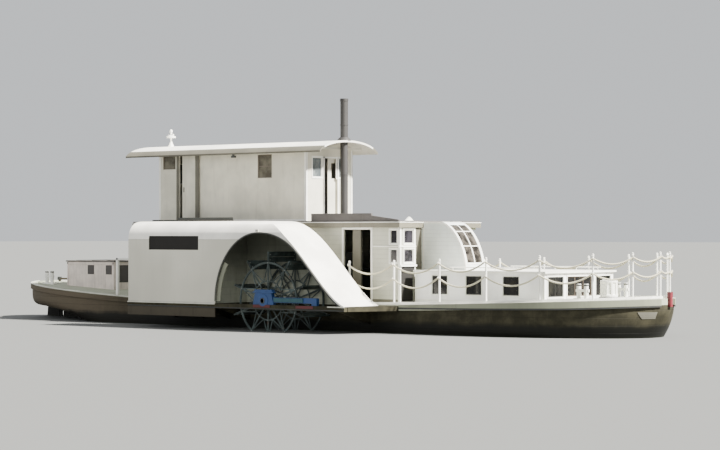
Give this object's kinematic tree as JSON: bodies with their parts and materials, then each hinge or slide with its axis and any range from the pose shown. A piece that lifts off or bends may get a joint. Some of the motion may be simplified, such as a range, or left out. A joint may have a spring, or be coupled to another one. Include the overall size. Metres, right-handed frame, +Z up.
{
  "type": "side-wheel paddle steamer",
  "caption": "Small river paddle steamer with a rounded side box over each open paddle wheel, a long wheelhouse under a cambered roof, a slim funnel and rope rails round the bow.",
  "frame": {"origin": "on the centreline at the waterline, under the paddle shaft", "axes": "+X to the bow, +Y to port, +Z up"},
  "size_m": [26.73, 9.1, 8.21],
  "materials": {
    "white_paint": "oil paint on boards and sheet, weathered",
    "wall_paint": "pale grey-white oil paint",
    "hull_paint": "dull dark brown bitumen paint",
    "deck_paint": "worn sage-grey deck paint",
    "roof_paint": "white roof paint",
    "slab_paint": "grey canvas-covered deck",
    "iron": "dark painted iron, streaked",
    "steel": "grey heat-resistant paint",
    "blue_paint": "bright blue enamel",
    "red_paint": "red enamel",
    "rope": "laid cream rope",
    "varnish": "varnished timber",
    "old_paint": "weathered cream paint",
    "plank_paint": "pale blue-grey planks"
  },
  "bodies": {
    "hull": {"hull": "hull_paint", "main_deck": "deck_paint", "stem_head": "red_paint", "starboard_guard": "hull_paint", "port_guard": "hull_paint", "starboard_guard_beam": "hull_paint", "port_guard_beam": "hull_paint", "starboard_paddle_box": "white_paint", "port_paddle_box": "white_paint", "starboard_shaft_bearing": "blue_paint", "port_shaft_bearing": "blue_paint", "deckhouse_walls": "wall_paint", "boiler": "iron", "engine": "iron", "upper_deck": "slab_paint", "fore_cabin_walls": "white_paint", "fore_cabin_roof": "roof_paint", "companion_hood": "plank_paint", "wheelhouse_walls": "wall_paint", "wheelhouse_roof": "roof_paint", "roof_vent": "white_paint", "funnel": "steel", "helm_pedestal": "varnish", "aft_locker": "old_paint", "capstan_bed": "iron", "starboard_fore_bitts": "white_paint", "port_fore_bitts": "white_paint", "starboard_aft_bitts": "white_paint", "port_aft_bitts": "white_paint", "starboard_rail": "white_paint", "port_rail": "white_paint", "stem_post": "white_paint", "upper_rope_rail": "rope", "lower_rope_rail": "rope"},
    "paddle_wheels": {"paddle_shaft": "steel", "starboard_paddle_wheel": "iron", "port_paddle_wheel": "iron"},
    "rudder": {"rudder": "iron"},
    "helm": {"helm_wheel": "varnish"},
    "starboard_door": {"starboard_wheelhouse_door": "wall_paint"},
    "port_door": {"port_wheelhouse_door": "wall_paint"},
    "front_door": {"wheelhouse_front_door": "wall_paint"},
    "locker_lid": {"aft_locker_lid": "old_paint"},
    "capstan": {"capstan_barrel": "white_paint"}
  },
  "joints": [
    {"name": "paddle_wheels_turn", "type": "hinge", "parent": "hull", "child": "paddle_wheels", "pos_m": [0, 0, 0.95], "axis": [0, 1, 0], "continuous": true},
    {"name": "rudder_turn", "type": "hinge", "parent": "hull", "child": "rudder", "pos_m": [-14.15, 0, 0], "axis": [0, 0, 1], "range_deg": [-35, 35]},
    {"name": "helm_turn", "type": "hinge", "parent": "hull", "child": "helm", "pos_m": [-2.06, 0, 4.5], "axis": [1, 0, 0], "range_deg": [-360, 360]},
    {"name": "starboard_door_slide", "type": "slide", "parent": "hull", "child": "starboard_door", "axis": [1, 0, 0], "range_m": [-0.19, 0.4]},
    {"name": "port_door_slide", "type": "slide", "parent": "hull", "child": "port_door", "axis": [1, 0, 0], "range_m": [-0.19, 0.4]},
    {"name": "front_door_slide", "type": "slide", "parent": "hull", "child": "front_door", "axis": [0, 1, 0], "range_m": [-0.26, 0.4]},
    {"name": "locker_lid_lift", "type": "hinge", "parent": "hull", "child": "locker_lid", "pos_m": [-11.29, 0.68, 2.01], "axis": [-1, 0, 0], "range_deg": [0, 100]},
    {"name": "capstan_turn", "type": "hinge", "parent": "hull", "child": "capstan", "pos_m": [9.62, 0, 1.3], "axis": [0, 0, 1], "continuous": true}
  ],
  "couplings": [
    {"joint": "helm_turn", "follows": "rudder_turn", "ratio": 10.285}
  ]
}
